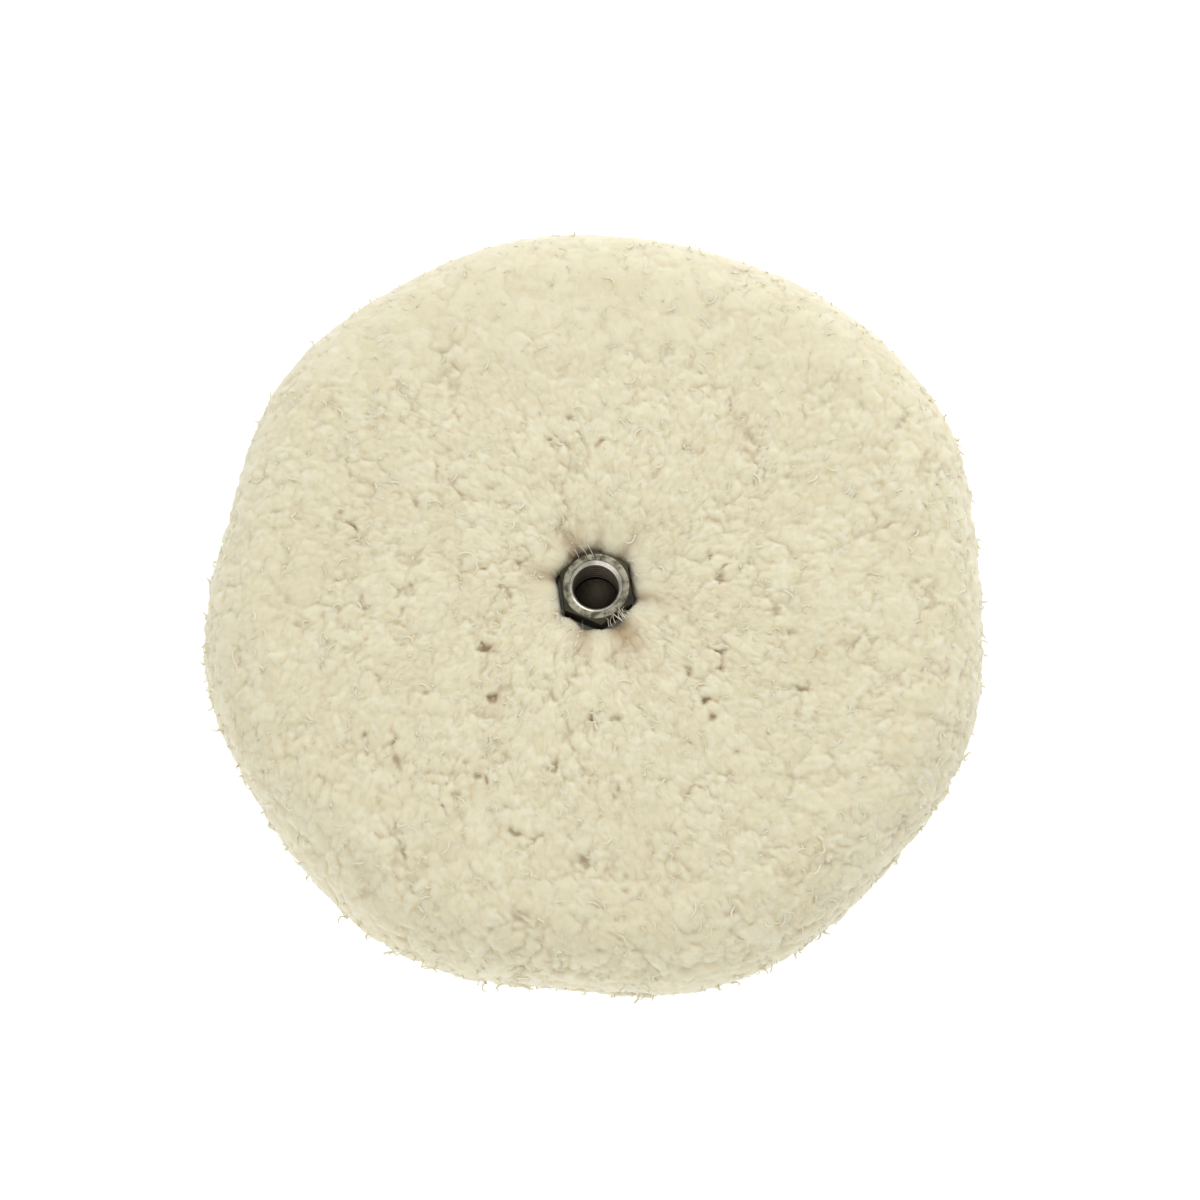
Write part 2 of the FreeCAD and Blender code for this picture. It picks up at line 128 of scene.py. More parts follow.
# %% A material and its nodes
class Finish:
    """A material with one Principled surface, and the methods that add nodes to it."""

    def __init__(self, name, **constants):
        self.material = bpy.data.materials.new(name)
        self.material.use_nodes = True
        self.tree = self.material.node_tree
        self.surface = self.tree.nodes["Principled BSDF"]
        self.set(**constants)

    def node(self, kind, settings=None, inputs=None, output=0):
        """Add a node: first its settings, then the values or links of its inputs."""
        made = self.tree.nodes.new(kind)
        for name, value in (settings or {}).items():
            setattr(made, name, value)
        for name, value in (inputs or {}).items():
            self.feed(made.inputs[name], value)
        return Signal(self, made.outputs[output])

    def feed(self, socket, value):
        """Give a socket a link or a plain value."""
        if isinstance(value, Signal):
            self.tree.links.new(value.socket, socket)
        else:
            socket.default_value = value

    def set(self, **inputs):
        """Feed sockets of the surface: base_color is the one called Base Color."""
        for words, value in inputs.items():
            self.feed(self.surface.inputs[words.replace("_", " ").title()], value)

    def place(self):
        """Object coordinates, in metres."""
        return self.node("ShaderNodeTexCoord", output="Object")

    def axes(self):
        """The place as three Signals: x, y and z."""
        place = self.place()
        return [self.node("ShaderNodeSeparateXYZ", None, {"Vector": place}, output=axis)
                for axis in range(3)]

    def attribute(self, name):
        """A value painted on the piece's vertices."""
        return self.node("ShaderNodeAttribute", {"attribute_name": name}, output="Fac")

    def speckle(self, per_metre, detail=2.0, roughness=0.5, place=None, warp=0.0):
        """Soft cloudy noise, from 0 to 1."""
        return self.node("ShaderNodeTexNoise", None, {
            "Vector": place or self.place(), "Scale": per_metre, "Detail": detail,
            "Roughness": roughness, "Distortion": warp})

    def blend(self, amount, first, second):
        """The first colour where amount is 0, and the second where it is 1."""
        return self.node("ShaderNodeMix", {"data_type": "RGBA"},
                         {0: amount, 6: first, 7: second}, output=2)

    def bump(self, height, distance, strength=1.0):
        """A relief that only the light sees."""
        return self.node("ShaderNodeBump", None,
                         {"Height": height, "Distance": distance, "Strength": strength})


def paint(obj, finish):
    """Give an object one material."""
    obj.data.materials.clear()
    obj.data.materials.append(finish.material)


print("materials ready")


# %% [markdown]
# ## The wool's shape
#
# Wool pile is thousands of curly fibres that clump into tufts. Hair on every point would be far too
# heavy to send to another program, so the pile is one dense skin, pushed in and out by what makes
# tufts look like tufts: rounded clumps of two sizes with narrow creases between them, a slow swell,
# and fine wavy ridges. Small loose locks and fibres are laid over it later, which hides that it is
# a skin.
#
# The skin starts as a torus, because a pile has a hole in the middle. Its rings are moved onto the
# pile's section, a curve of radius and height: up the hub's side, over the lip, along the flat top
# and round the rim. A few points set it, and a spline rounds it.

# %% Curves for a section
def arc_points(centre, radius, start, end, count):
    """Points of an arc in the section's plane, from one angle to another in degrees."""
    angles = np.radians(np.linspace(start, end, count))
    return np.column_stack([centre[0] + radius * np.cos(angles), centre[1] + radius * np.sin(angles)])


def even(line, count):
    """Resample a line of points evenly by length."""
    length = np.concatenate([[0], np.cumsum(np.linalg.norm(np.diff(line, axis=0), axis=1))])
    marks = np.linspace(0, length[-1], count)
    return np.column_stack([np.interp(marks, length, line[:, axis]) for axis in (0, 1)])


def smooth_curve(points, count):
    """A smooth curve through a few points, resampled evenly by length."""
    points = np.array(points)
    ends = [2 * points[0] - points[1], 2 * points[-1] - points[-2]]
    padded = np.vstack([ends[0], points, ends[1]])
    steps = np.linspace(0, 1, 12, endpoint=False)[:, None]
    pieces = []
    for index in range(1, len(padded) - 2):
        a, b, c, d = padded[index - 1:index + 3]
        pieces.append(0.5 * (2 * b + (c - a) * steps + (2 * a - 5 * b + 4 * c - d) * steps ** 2
                             + (3 * b - a - 3 * c + d) * steps ** 3))
    return even(np.vstack(pieces + [points[-1:]]), count)


print("a quarter circle ends at", arc_points((0, 0), 1, 0, 90, 3)[-1].round(3))

# %% The front pile's section
RIM_ROUNDNESS = 23 * MM
RIM_INSET = 0.3 * MM
RISE_POINTS = 400
RIM_POINTS = 90
rim_start = wheel_radius - RIM_ROUNDNESS
wool_top = half_thickness - 0.9 * MM
mouth = hub_radius + 0.5 * MM


def pile_section(rise, rim_drop):
    """A pile's section: its rise from the hub, which ends rim_drop below the top, then the rim."""
    return np.vstack([
        smooth_curve(rise + [(rim_start, wool_top - rim_drop)], RISE_POINTS),
        arc_points((rim_start - RIM_INSET, wool_top - rim_drop - RIM_ROUNDNESS), RIM_ROUNDNESS,
                   88, 3, RIM_POINTS),
        [(wheel_radius - RIM_INSET, 1.6 * MM), (wheel_radius - 1.3 * MM, -0.9 * MM)],
    ])


front_section = pile_section([
    (mouth, washer_top + 0.5 * MM),
    (mouth, 15.0 * MM),
    (mouth + 0.2 * MM, 17.4 * MM),
    (mouth + 1.3 * MM, 19.5 * MM),
    (mouth + 4.5 * MM, 21.5 * MM),
    (mouth + 12 * MM, 23.3 * MM),
    (mouth + 26 * MM, 24.7 * MM),
    (rim_start - 20 * MM, wool_top),
], rim_drop=0.3 * MM)
section_length = np.linalg.norm(np.diff(front_section, axis=0), axis=1).sum()
print(f"the front section is {section_length / MM:.1f} mm long")


# %% [markdown]
# ## Tufts
#
# The height of the wool at any place is a sum. Voronoi cells give rounded clumps: the distance to the
# nearest cell point makes a dome, and the difference to the second nearest is small only in the crease
# between two clumps. The place is first shaken by a slower noise, or the cells would look like paving.
# Here and there the wool has parted in a gap, more often around the hub than towards the rim.
# Creases and gaps are darkened to tan by painted shade.

# %% One tuft
def ease(value, low, high):
    """0 below low, 1 above high, smooth between."""
    share = min(max((value - low) / (high - low), 0.0), 1.0)
    return share * share * (3 - 2 * share)


def tuft(place, size, shake, seed):
    """A clump's dome, its crease and its own random number, at a place."""
    shift = Vector((seed, 2 * seed, 3 * seed))
    spot = place / size + shift
    spot = spot + noise.noise_vector(spot * 0.9) * shake + noise.noise_vector(spot * 2.3) * shake * 0.45
    near, centres = noise.voronoi(spot)
    dome = 1 - min(near[0] / 0.85, 1.0) ** 2
    crease = ease(near[1] - near[0], 0.0, 0.3)
    own = 0.5 + 0.5 * noise.cell(centres[0] * 7.13)
    return dome, crease, own


print("halfway, ease gives", ease(0.5, 0.0, 1.0))

# %% Height of the wool
BIG_TUFT = 8.5 * MM
SMALL_TUFT = 4.0 * MM
SWELL_LENGTH = 26 * MM
OPENING_LENGTH = 13 * MM
GAP_LENGTH = 4.5 * MM
WAVE_LENGTH = 1.7 * MM
WAVE_BEND = 3.5 * MM
GAPPY_SPOT = (-12 * MM, -12 * MM)


def wool(place, seed):
    """The wool's height in metres over its smooth section, its painted shade in creases and gaps, its
    tone.
    """
    big_dome, big_crease, big_own = tuft(place, BIG_TUFT, 0.65, seed)
    small_dome, small_crease, small_own = tuft(place, SMALL_TUFT, 0.6, seed + 5)
    swell = noise.noise(place / SWELL_LENGTH + Vector((seed, 0, 0)))
    openness = ease(noise.noise(place / OPENING_LENGTH + Vector((0, seed, 4))), -0.25, 0.6)
    gap = ease(noise.noise(place / GAP_LENGTH + Vector((7, seed, 1))), 0.27, 0.55) * (1 - big_crease)
    worn = ease(math.hypot(place.x - GAPPY_SPOT[0], place.y - GAPPY_SPOT[1]), 45 * MM, 100 * MM)
    gap *= openness * (1 - worn * 0.8)
    wave = 1 - abs(noise.noise(place / WAVE_LENGTH + noise.noise_vector(place / WAVE_BEND) * 1.4))
    relief = (
        0.8 * (big_dome - 0.5) * (0.4 + 0.9 * big_own)
        + 0.6 * (small_dome - 0.5) * (0.4 + 0.9 * small_own)
        - 0.7 * (1 - big_crease) * (0.2 + 0.8 * openness)
        - 0.3 * (1 - small_crease)
        - 1.3 * gap
        + 0.35 * (wave - 0.75)
    )
    # depth is painted shade: it is larger in low creases and in gaps, where the material darkens the cream
    # to tan.
    depth = min(0.33 * ease(-relief, 0.3, 1.6) + 0.75 * gap, 1.0)
    tone = 0.45 * big_own + 0.35 * small_own + 0.2 * (0.5 + 0.5 * swell)
    return (relief + swell) * MM, depth, tone


samples = [wool(Vector((spot * MM, 0, wool_top)), 3.0)[0] / MM for spot in range(40, 90)]
print(f"along the top the wool stands {min(samples):.1f} to {max(samples):.1f} mm off its section")


# %% [markdown]
# ## Outline and hub creases
#
# The rim isn't a perfect circle. A few slow waves around it, each a number of bumps, a height in
# millimetres and the angle of a bump in degrees, make the outline of a wheel that has been handled.
# Near the hub the wool closes in on the hexagon, with hollows that point at it where the tufts part.

# %% Waves of the rim
RIM_WAVES = [(0, 0.7, 0), (1, 0.9, -40), (2, 0.5, 60), (3, 0.35, 27), (4, 1.25, 38), (5, 0.25, -25),
             (6, 0.2, -19), (7, 1.25, -16), (8, 0.7, 16), (9, 0.25, -15)]


def rim_wave(angle):
    """How far the rim stands out at an angle, in metres."""
    waves = (size * math.cos(count * (angle - math.radians(peak))) for count, size, peak in RIM_WAVES)
    return sum(waves) * MM


outline = [rim_wave(math.radians(turn)) / MM for turn in range(360)]
print(f"the rim stands out by {min(outline):.1f} to {max(outline):.1f} mm")

# %% The hexagon and the hollows around it
HEX_FLATS = 20.6 * MM
HEX_TURN = 7.5
# Each hollow: its angle in degrees, its depth in mm, its width in degrees and its reach in mm.
HUB_HOLLOWS = [(-60, 3.4, 15, 10), (118, 2.4, 13, 7), (168, 2.2, 8, 9), (-14, 1.8, 7, 12),
               (-104, 2.6, 12, 8), (52, 1.4, 8, 8), (86, 1.2, 7, 7), (-142, 1.0, 8, 8)]


def hex_radius(angle):
    """The hexagon's radius at an angle. A flat faces HEX_TURN, and the corners are 30 degrees off."""
    turn = (np.degrees(angle) - HEX_TURN - 30) % 60 - 30
    return 0.5 * HEX_FLATS / np.cos(np.radians(turn))


def hub_hollow(angle, radius):
    """How deep the wool parts around the hub, in metres."""
    total = 0.0
    for where, size, width, reach in HUB_HOLLOWS:
        turn = (math.degrees(angle) - where + 180) % 360 - 180
        total += size * math.exp(-(turn / width) ** 2 - ((radius - mouth) / (reach * MM)) ** 2)
    return total * MM


corner = math.radians(HEX_TURN + 30)
print(f"the hexagon is {2 * hex_radius(corner) / MM:.1f} mm across its corners")


# %% [markdown]
# ## Pushing the skin into shape
#
# Each ring of the torus is moved onto the section, then every vertex is pushed along the section's
# own normal by the wool's height. At the front the lip is drawn in to the hexagon. Two numbers are
# stored on each vertex as attributes for the material: depth, a painted shade for creases, gaps,
# hollows and the parting at the rim, and the tone of its tuft.

# %% Close the section
SHARE_VISIBLE = 0.96
VISIBLE_POINTS = 960
UNDER_POINTS = 42


def closed_section(section):
    """The visible section and a plain underside, as one closed line, with its outward normals."""
    visible = even(section, VISIBLE_POINTS)
    start, finish = visible[0], visible[-1]
    below = even(np.array([
        finish,
        (finish[0] - 3 * MM, 0.2 * MM),
        (binding_radius + 1 * MM, 0.3 * MM),
        (binding_radius + 1 * MM, 8.2 * MM),
        (start[0] + 8 * MM, 9.6 * MM),
        start,
    ]), UNDER_POINTS)
    line = np.vstack([visible, below[1:]])
    marks = np.concatenate([np.linspace(0, SHARE_VISIBLE, VISIBLE_POINTS),
                            np.linspace(SHARE_VISIBLE, 1, UNDER_POINTS)[1:]])
    along = np.gradient(line, axis=0)
    along /= np.linalg.norm(along, axis=1)[:, None]
    return marks, line, np.column_stack([-along[:, 1], along[:, 0]])


print("the closed section has", len(closed_section(front_section)[1]), "points")


# %% A dense torus
RING_RADIUS = 70 * MM
TUBE_RADIUS = 12 * MM
FINER = 3


def dense_torus(name, turns, rings):
    """A torus, subdivided. Its tube's angle says later where on the section a vertex goes."""
    bpy.ops.object.select_all(action="DESELECT")
    bpy.ops.mesh.primitive_torus_add(major_segments=turns, minor_segments=rings,
                                     major_radius=RING_RADIUS, minor_radius=TUBE_RADIUS)
    torus = bpy.context.object
    torus.name = name
    bpy.ops.object.mode_set(mode="EDIT")
    bpy.ops.mesh.select_all(action="SELECT")
    bpy.ops.mesh.subdivide(number_cuts=FINER)
    bpy.ops.object.mode_set(mode="OBJECT")
    return torus


def torus_angles(torus):
    """Each vertex's angle about the wheel's axis, and its share of the way round the tube."""
    start = np.zeros(len(torus.data.vertices) * 3)
    torus.data.vertices.foreach_get("co", start)
    start = start.reshape(-1, 3)
    tube_angle = np.arctan2(start[:, 2], np.hypot(start[:, 0], start[:, 1]) - RING_RADIUS)
    return np.arctan2(start[:, 1], start[:, 0]), tube_angle / (2 * math.pi) % 1


def face_outwards():
    """Point the active object's faces outwards and shade it smooth."""
    bpy.ops.object.mode_set(mode="EDIT")
    bpy.ops.mesh.select_all(action="SELECT")
    bpy.ops.mesh.normals_make_consistent(inside=False)
    bpy.ops.object.mode_set(mode="OBJECT")
    bpy.ops.object.shade_smooth()


print("each torus face is cut into", (FINER + 1) ** 2)

# %% Grow wool on a point
LIP_REACH = 4.5 * MM
LIP_GAP = 0.4 * MM
CLOSEST_SIDE = math.radians(80)


def grow_wool(angle, radius, height, out, seed, side):
    """Where a point of the smooth skin goes, its painted shade in creases, hollows and the parting, and
    its tone.
    """
    place = Vector((radius * math.cos(angle), radius * math.sin(angle), height))
    push, depth, tone = wool(place, seed)
    calm = 1 - 0.6 * ease(place.y, 50 * MM, 95 * MM)
    grown = 0.35 + 0.65 * ease(radius, mouth + 1 * MM, mouth + 9 * MM)
    lip = math.exp(-((radius - mouth) / LIP_REACH) ** 2)
    lip *= ease(height, FLANGE_TOP + 0.2 * MM, FLANGE_TOP + 2 * MM)
    hollow, draw_in = 0.0, 0.0
    if side > 0:
        hollow = hub_hollow(angle, radius)
        closeness = 0.86 + 0.14 * math.cos(angle - CLOSEST_SIDE)
        draw_in = (mouth - hex_radius(angle) - LIP_GAP) * closeness
    # Painted shade: less crease shade on the far side, more in the hub's hollows and along the rim's
    # parting.
    parting = 0.5 * (1 - ease(height, 0.0, 1.5 * MM))
    depth = min(depth * calm + 0.33 * hollow / MM + parting, 1.0)
    radius += out[0] * push * calm * grown - draw_in * lip + 0.35 * hollow * lip
    height += out[1] * push * calm * grown - 0.6 * hollow * lip
    return radius, height, depth, tone


print(f"the lip comes within {LIP_GAP / MM:.1f} mm of the hexagon")


# %% Make a skin
def make_skin(name, section, turns, rings, seed, side):
    """A closed wool skin. side is 1 for the front and -1 for the rear."""
    skin = dense_torus(name, turns, rings)
    angles, share = torus_angles(skin)
    marks, line, normals = closed_section(section)
    radii = np.interp(share, marks, line[:, 0])
    heights = np.interp(share, marks, line[:, 1])
    outs = np.column_stack([np.interp(share, marks, normals[:, axis]) for axis in (0, 1)])
    crease_shades = np.zeros(len(share))
    tones = np.full(len(share), 0.5)
    for index, angle in enumerate(angles):
        radius, height = radii[index], heights[index]
        radius += rim_wave(angle) * (radius / wheel_radius) ** 3
        if share[index] <= SHARE_VISIBLE:
            radius, height, crease_shades[index], tones[index] = grow_wool(
                angle, radius, height, outs[index], seed, side)
        radii[index], heights[index] = radius, height
    places = np.column_stack([radii * np.cos(angles), radii * np.sin(angles), heights * side])
    skin.data.vertices.foreach_set("co", places.ravel())
    # depth carries the painted shade of creases, gaps, hollows and the parting; tone is random per tuft.
    for label, values in (("depth", crease_shades), ("tone", tones)):
        layer = skin.data.attributes.new(label, "FLOAT", "POINT")
        layer.data.foreach_set("value", values.astype(np.float32))
    face_outwards()
    print(name, len(skin.data.polygons), "faces")
    return skin


# %% [markdown]
# ## The front wool
#
# The front pile is the face that shows. Its mouth is only just wider than the hub's flange, and it
# has the most faces, because its tufts are in the mesh and not painted on it.

# %% Front wool
fine = 1.0
front_wool = make_skin("front_wool", front_section, turns=int(250 * fine), rings=int(48 * fine),
                       seed=3.0, side=1)
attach(front_wool, "wheel")
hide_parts("front_wool_pile")

# %% [markdown]
# ## The rear wool
#
# The rear pile is the same wool on the other side, and the two meet in a parting round the rim. Its
# mouth is wider, because the nut sits in it. It is seen less, so its mesh is coarser.

# %% Rear wool
rear_mouth = 16.5 * MM
rear_section = pile_section([
    (rear_mouth, washer_top + 0.5 * MM),
    (rear_mouth, 14.0 * MM),
    (rear_mouth + 0.5 * MM, 17.5 * MM),
    (rear_mouth + 2.5 * MM, 21.0 * MM),
    (rear_mouth + 7 * MM, 23.4 * MM),
    (rear_mouth + 16 * MM, 24.6 * MM),
    (rear_mouth + 30 * MM, wool_top),
    (rim_start - 20 * MM, wool_top + 0.1 * MM),
], rim_drop=0.2 * MM)
rear_wool = make_skin("rear_wool", rear_section, turns=int(200 * fine), rings=int(38 * fine),
                      seed=11.0, side=-1)
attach(rear_wool, "wheel")
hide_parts("rear_wool_pile")

# %% [markdown]
# ## Wool finish
#
# Wool is a matt, pale cream, and light goes some way into it and comes out again, which is why its
# creases never look black. Subsurface scattering does that, and a little sheen gives the soft bright
# edge of loose fibres. On top of that, shade is painted into the colour: it deepens to tan where the
# depth attribute marks creases, gaps, hollows and the parting.

# %% Wool material
CREAM = (0.83, 0.765, 0.55, 1)
PALE_CREAM = (0.88, 0.825, 0.62, 1)
# A painted shade colour, for creases, gaps, hollows and the parting.
CREASE_SHADE_TAN = (0.50, 0.38, 0.22, 1)
wool_finish = Finish("wool", roughness=0.9, subsurface_weight=0.85, subsurface_scale=0.005,
                     subsurface_radius=(1.0, 0.85, 0.65), sheen_weight=0.15, sheen_roughness=0.5)
# The depth attribute is painted shade: it blends the cream towards the tan shade colour.
depth = wool_finish.attribute("depth")
tone = wool_finish.attribute("tone").between(0.15, 0.85)
shade = wool_finish.speckle(900, detail=3)
curliness = wool_finish.speckle(1000, detail=4, roughness=0.6, warp=1.5)
wool_finish.set(
    base_color=wool_finish.blend(depth, wool_finish.blend(tone, CREAM, PALE_CREAM), CREASE_SHADE_TAN),
    roughness=0.85 + 0.1 * shade,
    normal=wool_finish.bump(curliness, 0.3 * MM, 0.35),
)
paint(front_wool, wool_finish)
paint(rear_wool, wool_finish)
print("wool nodes:", len(wool_finish.tree.nodes))

# %% [markdown]
# ## Lock finish
#
# A loose lock catches more light than the wool under it. It is too thin to be worth scattering, so a
# paler colour stands in for that, and each lock has a random tone between two creams.

# %% Lock material
LOCK_CREAM = (0.89, 0.83, 0.625, 1)
LOCK_PALE = (0.95, 0.905, 0.73, 1)
lock_finish = Finish("wool_locks", roughness=0.9, sheen_weight=0.15, sheen_roughness=0.5)
lock_finish.set(base_color=lock_finish.blend(lock_finish.attribute("tone"), LOCK_CREAM, LOCK_PALE),
                roughness=0.82 + 0.12 * lock_finish.speckle(900))
print("lock nodes:", len(lock_finish.tree.nodes))


# %% [markdown]
# ## Loose locks
#
# A skin alone looks like plaster. On a real fleece each tuft ends in little curls that lie over each
# other. One curl is a thin tapered tube wound into a small spiral. It starts as a circle that is
# extruded along its length, and a formula winds the straight tube. Hair or a bevelled curve could do
# it too, but this way each curl has only a few dozen faces and closed ends.

# %% Model one curl
def straight_tube(sides, segments):
    """Vertices and faces of a closed tube of radius 1 from height 0 to height 1."""
    bpy.ops.object.select_all(action="DESELECT")
    bpy.ops.mesh.primitive_circle_add(vertices=sides, radius=1.0, fill_type="NGON")
    tube = bpy.context.object
    bpy.ops.object.mode_set(mode="EDIT")
    bpy.ops.mesh.select_all(action="SELECT")
    for _ in range(segments):
        bpy.ops.mesh.extrude_region_move(TRANSFORM_OT_translate={"value": (0, 0, 1.0 / segments)})
    bpy.ops.mesh.merge(type="CENTER")
    bpy.ops.mesh.select_all(action="SELECT")
    bpy.ops.mesh.normals_make_consistent(inside=False)
    bpy.ops.object.mode_set(mode="OBJECT")
    corners = np.array([vertex.co for vertex in tube.data.vertices])
    faces = [tuple(face.vertices) for face in tube.data.polygons]
    bpy.data.objects.remove(tube)
    return corners, faces


def make_curl(sides, segments, length, coil, turns, thickness, lift, seed):
    """The vertices and faces of one curl. It starts at the origin, runs along X and rises along Z."""
    start, faces = straight_tube(sides, segments)
    chance = np.random.default_rng(seed)
    phase = chance.uniform(0, 2 * math.pi)
    bend = chance.uniform(-0.6, 0.6)

    def path(along):
        wind = phase + along * turns * 2 * math.pi
        size = coil * (0.35 + 0.65 * along)
        return np.column_stack([
            length * along + size * (np.sin(wind) - math.sin(phase)),
            bend * length * along ** 2 + size * (np.cos(wind) - math.cos(phase)),
            lift * np.sin(along * math.pi * 0.8) - 0.4 * MM + size * 0.8 * np.sin(wind * 0.7),
        ])

    share = np.clip(start[:, 2], 0, 1)
    ahead = path(share + 0.01) - path(share - 0.01)
    ahead /= np.linalg.norm(ahead, axis=1)[:, None]
    across = np.cross((0, 0, 1.0), ahead)
    across /= np.linalg.norm(across, axis=1)[:, None] + 1e-9
    up = np.cross(ahead, across)
    width = thickness * (1 - 0.75 * share ** 1.5)
    return path(share) + (across * start[:, :1] + up * start[:, 1:2]) * width[:, None], faces


lock_curls = [make_curl(sides=4, segments=8, length=3.4 * MM, coil=0.7 * MM, turns=turns,
                        thickness=0.38 * MM, lift=0.3 * MM, seed=seed)
              for seed, turns in enumerate((0.9, 1.1, 1.3, 1.5, 1.0, 1.2))]
print("curls:", len(lock_curls), "with", len(lock_curls[0][1]), "faces each")


# %% [markdown]
# ## Copies over a skin
#
# A fleece has thousands of curls, so the few that are modelled are copied, turned and sized at random
# and placed on random faces of a skin. Larger faces are chosen more often, or the copies would crowd
# where the mesh is fine. They are joined into one mesh, because thousands of objects would be slow.
# A copy that would reach into the hub, or into the nut's way, is left out.

# %% Scatter and join
def skin_faces(skin):
    """Centres, normals and areas of a skin's faces."""
    count = len(skin.data.polygons)
    centres, normals, areas = np.zeros(count * 3), np.zeros(count * 3), np.zeros(count)
    skin.data.polygons.foreach_get("center", centres)
    skin.data.polygons.foreach_get("normal", normals)
    skin.data.polygons.foreach_get("area", areas)
    return centres.reshape(-1, 3), normals.reshape(-1, 3), areas


def scattered(skin, where, count, shapes, seed, tilt):
    """Shapes, turns and places over a skin, more where `where(centres, normals)` is larger."""
    chance = np.random.default_rng(seed)
    centres, normals, areas = skin_faces(skin)
    weights = areas * where(centres, normals)
    for pick in chance.choice(len(centres), size=count, p=weights / weights.sum()):
        out = normals[pick] + chance.normal(0, tilt, 3)
        out /= np.linalg.norm(out)
        ahead = np.cross(out, chance.normal(0, 1, 3))
        ahead /= np.linalg.norm(ahead)
        basis = np.array([ahead, np.cross(out, ahead), out]) * chance.uniform(0.7, 1.3)
        yield shapes[chance.integers(len(shapes))], basis, centres[pick]


def join_copies(name, copies, seed, keep_out=None):
    """Make one piece of wool from copied shapes, without those that touch what they shouldn't."""
    chance = np.random.default_rng(seed)
    points, faces, tones = [], [], []
    offset = 0
    for (shape, shape_faces), basis, place in copies:
        copy = shape @ basis + place
        if keep_out is not None and keep_out(copy).any():
            continue
        points.append(copy)
        faces += [tuple(corner + offset for corner in face) for face in shape_faces]
        tones += [chance.uniform(0.2, 1.0)] * len(shape)
        offset += len(shape)
    mesh = bpy.data.meshes.new(name)
    mesh.from_pydata(np.vstack(points).tolist(), [], faces)
    mesh.attributes.new("tone", "FLOAT", "POINT").data.foreach_set("value", tones)
    mesh.shade_smooth()
    piece = bpy.data.objects.new(name, mesh)
    bpy.context.scene.collection.objects.link(piece)
    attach(piece, "wheel")
    paint(piece, lock_finish)
    print(name, len(mesh.polygons), "faces in", len(points), "copies")


# %% Where locks may lie
PARTING = 0.3 * MM
RIM_BAND = 4 * MM
CLEARANCE = 0.15 * MM


def on_wool(centres, normals):
    """Where a skin can be seen, and more at the rim, where locks bridge the parting of the piles."""
    radius = np.hypot(centres[:, 0], centres[:, 1])
    height = np.abs(centres[:, 2])
    outwards = normals[:, 2] * np.sign(centres[:, 2])
    inner = np.where(centres[:, 2] > 0, mouth, rear_mouth)
    return (radius > inner) * (height > PARTING) * (outwards > -0.35) * (1 + 2 * (height < RIM_BAND))


def near_hub(points):
    """Points that would touch the hub, at the front, or the clamp nut on its way out, at the rear."""
    radius = np.hypot(points[:, 0], points[:, 1])
    hexagon = hex_radius(np.arctan2(points[:, 1], points[:, 0]))
    limit = np.where(points[:, 2] > FLANGE_TOP + 0.2 * MM, hexagon, hub_radius) + CLEARANCE
    return np.where(points[:, 2] > 0, radius < limit, radius < rear_mouth - 0.5 * MM)


print("locks may lie on", int((on_wool(*skin_faces(front_wool)[:2]) > 0).sum()), "front faces")

# %% Locks and fibres
fibres = [make_curl(sides=3, segments=5, length=3.6 * MM, coil=0.5 * MM, turns=turns,
                    thickness=0.05 * MM, lift=1.3 * MM, seed=seed + 20)
          for seed, turns in enumerate((0.4, 0.7, 0.5, 0.8, 0.6, 0.9))]
part_of = 1.0
for name, skin, shapes, count, seed, tilt in (
    ("front_locks", front_wool, lock_curls, 2500, 1, 0.15),
    ("front_fibres", front_wool, fibres, 3200, 2, 0.35),
    ("rear_locks", rear_wool, lock_curls, 2100, 3, 0.15),
    ("rear_fibres", rear_wool, fibres, 2400, 4, 0.35),
):
    copies = scattered(skin, on_wool, int(count * part_of), shapes, seed, tilt)
    join_copies(name, copies, seed + 50, near_hub)

# %% [markdown]
# ## Wisps over the hexagon
#
# Beside the hub a few fine strands have come loose and lie over the hexagon's edge. They are thinner
# curls that start at the lip and point inwards, most at the widest hollow and the rest opposite it.

# %% Wisps over the hexagon
strands = [make_curl(sides=4, segments=8, length=4.2 * MM, coil=0.6 * MM, turns=turns,
                     thickness=0.1 * MM, lift=0.3 * MM, seed=seed + 40)
           for seed, turns in enumerate((0.5, 0.8, 0.6, 1.0))]
WISPS = 18
WISP_HEIGHT = hub_face + 0.55 * MM


def wisp_copies():
    """Strands that reach from the wool's lip over the hexagon's edge, one in six on the far side."""
    chance = np.random.default_rng(8)
    for number in range(WISPS):
        turn = math.radians(chance.normal(-54, 8) if number % 6 else chance.normal(122, 12))
        inwards = np.array([-math.cos(turn), -math.sin(turn), chance.uniform(-0.12, 0.0)])
        sideways = np.array([math.sin(turn), -math.cos(turn), 0])
        reach = chance.uniform(12.8, 14.0) * MM
        root = np.array([reach * math.cos(turn), reach * math.sin(turn), WISP_HEIGHT])
        basis = np.array([inwards, sideways, (0, 0, 1)]) * chance.uniform(0.7, 1.0)
        yield strands[number % len(strands)], basis, root


join_copies("hub_wisps", wisp_copies(), 60)


# %% [markdown]
# ## The hub
#
# On the real wheel the hub is turned and milled from one bar of steel: a hexagon for the spanner, a
# flange that presses on the washer, a shank through the pad and a threaded stem for the nut. Its front
# is drilled, countersunk and tapped. A lathe shape is a line of points spun about an axis. Boolean
# modifiers then do what the milling cutter, the drill and the tap do, in the same order as in a
# workshop. First come the workshop's tools.

# %% Lathe and cutting tools
WELD = 0.001 * MM


